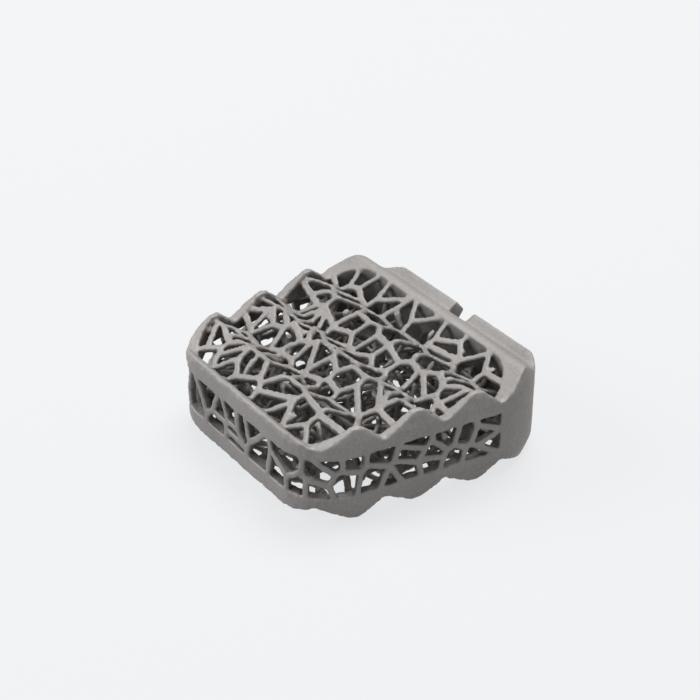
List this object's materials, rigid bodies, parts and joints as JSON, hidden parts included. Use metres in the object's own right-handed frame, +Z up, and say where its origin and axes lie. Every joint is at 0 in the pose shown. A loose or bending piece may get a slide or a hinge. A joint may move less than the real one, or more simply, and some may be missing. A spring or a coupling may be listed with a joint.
{
  "type": "porous spinal interbody cage",
  "caption": "Low trapezoid cage with toothed porous top and bottom and a solid front wall, which spaces two vertebrae while bone grows through it.",
  "frame": {"origin": "middle of the footprint, on the tips of the lower teeth", "axes": "+X across the body, +Y from the narrow rear face to the wide front wall where the holder goes in, +Z up"},
  "size_m": [0.018, 0.0172, 0.006],
  "materials": {
    "titanium": "matte, as sintered and blasted"
  },
  "bodies": {
    "root": {"interbody_cage": "titanium"}
  },
  "joints": []
}
